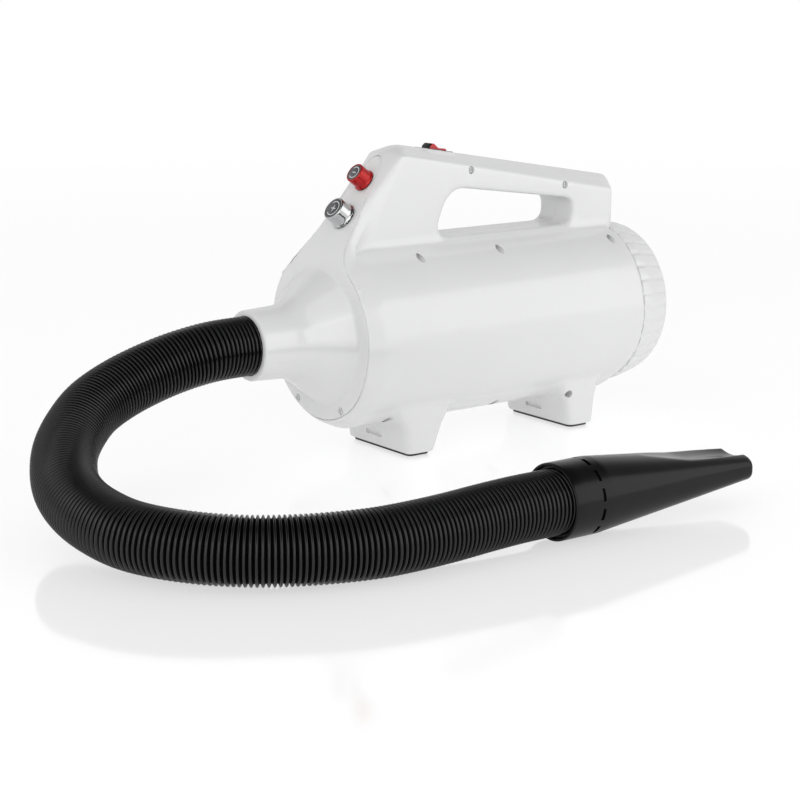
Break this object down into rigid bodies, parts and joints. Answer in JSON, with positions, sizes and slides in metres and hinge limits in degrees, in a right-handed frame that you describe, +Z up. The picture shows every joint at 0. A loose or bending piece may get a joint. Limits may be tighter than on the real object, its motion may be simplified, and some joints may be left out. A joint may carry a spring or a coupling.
{
  "type": "pet dryer",
  "caption": "Hand-carried grooming blower with a round barrel body, top handle, rocker switch, speed and heat knobs, ribbed hose and flat nozzle.",
  "frame": {"origin": "On the floor, under the centre of the machine without its hose and nozzle; the rubber foot pads stand on z = 0.", "axes": "+X runs along the motor axis from the spout to the air inlet, +Z is up, and -Y is the side shown in the picture."},
  "size_m": [0.6657, 0.4115, 0.2645],
  "materials": {
    "white_plastic": "gloss",
    "black_plastic": "satin",
    "hose_plastic": "satin",
    "rubber": "matte",
    "foam": "matte",
    "steel": "brushed",
    "chrome": "polished",
    "red_plastic": "gloss",
    "grey_plastic": "satin",
    "copper": "satin",
    "brass": "satin",
    "aluminium": "satin",
    "lamination": "matte",
    "mica": "matte",
    "board": "satin",
    "blue_plastic": "satin"
  },
  "bodies": {
    "body": {"housing_left": "white_plastic", "housing_right": "white_plastic", "front_cover": "white_plastic", "foot_pads": "rubber", "housing_screws": "steel", "cover_screws": "steel", "intake_guard": "white_plastic", "cord_gland": "rubber", "switch_body": "black_plastic", "switch_terminals": "brass", "speed_pot": "steel", "heat_pot": "steel", "pot_nuts": "steel", "control_board": "board", "board_parts": "blue_plastic", "heat_sink": "aluminium", "leads": "black_plastic", "fan_can": "steel", "fan_base": "steel", "return_guide": "black_plastic", "motor_frame": "steel", "field_core": "lamination", "field_coils": "copper", "brush_holders": "brass", "brushes": "black_plastic", "front_bearing": "steel", "rear_bearing": "steel", "front_can_ring": "rubber", "rear_can_ring": "rubber", "front_mount": "rubber", "motor_bracket": "steel", "sound_foam": "foam", "heater_shield": "steel", "heater_former": "mica", "heater_coil": "steel", "thermal_cutout": "black_plastic", "hose": "hose_plastic", "hose_cuff": "black_plastic"},
    "rocker": {"switch_rocker": "red_plastic"},
    "speed_control": {"speed_knob": "chrome", "speed_inlay": "grey_plastic", "speed_shaft": "steel"},
    "heat_control": {"heat_knob": "red_plastic", "heat_inlay": "grey_plastic", "heat_shaft": "steel"},
    "rotor": {"motor_shaft": "steel", "impeller_front": "aluminium", "impeller_rear": "aluminium", "impeller_nut": "steel", "armature_core": "lamination", "armature_winding": "copper", "commutator": "copper"},
    "cap": {"rear_cap": "white_plastic", "filter_foam": "foam", "filter_ring": "white_plastic"},
    "nozzle": {"nozzle": "black_plastic"}
  },
  "joints": [
    {"name": "rocker_tilt", "type": "hinge", "parent": "body", "child": "rocker", "pos_m": [-0.01349, 0, 0.25546], "axis": [0, 1, 0], "range_deg": [-26, 0]},
    {"name": "speed_turn", "type": "hinge", "parent": "body", "child": "speed_control", "pos_m": [-0.11049, -0.003, 0.20723], "axis": [-0.7986, 0, 0.6018], "range_deg": [-280, 0]},
    {"name": "heat_turn", "type": "hinge", "parent": "body", "child": "heat_control", "pos_m": [-0.08883, -0.003, 0.23598], "axis": [-0.7986, 0, 0.6018], "range_deg": [-280, 0]},
    {"name": "rotor_spin", "type": "hinge", "parent": "body", "child": "rotor", "pos_m": [0.03, 0, 0.107], "axis": [1, 0, 0], "continuous": true},
    {"name": "cap_turn", "type": "hinge", "parent": "body", "child": "cap", "pos_m": [0.1895, 0, 0.107], "axis": [1, 0, 0], "range_deg": [-30, 0]},
    {"name": "nozzle_swivel", "type": "hinge", "parent": "body", "child": "nozzle", "pos_m": [-0.12, -0.305, 0.0295], "axis": [1, 0, 0], "continuous": true}
  ]
}
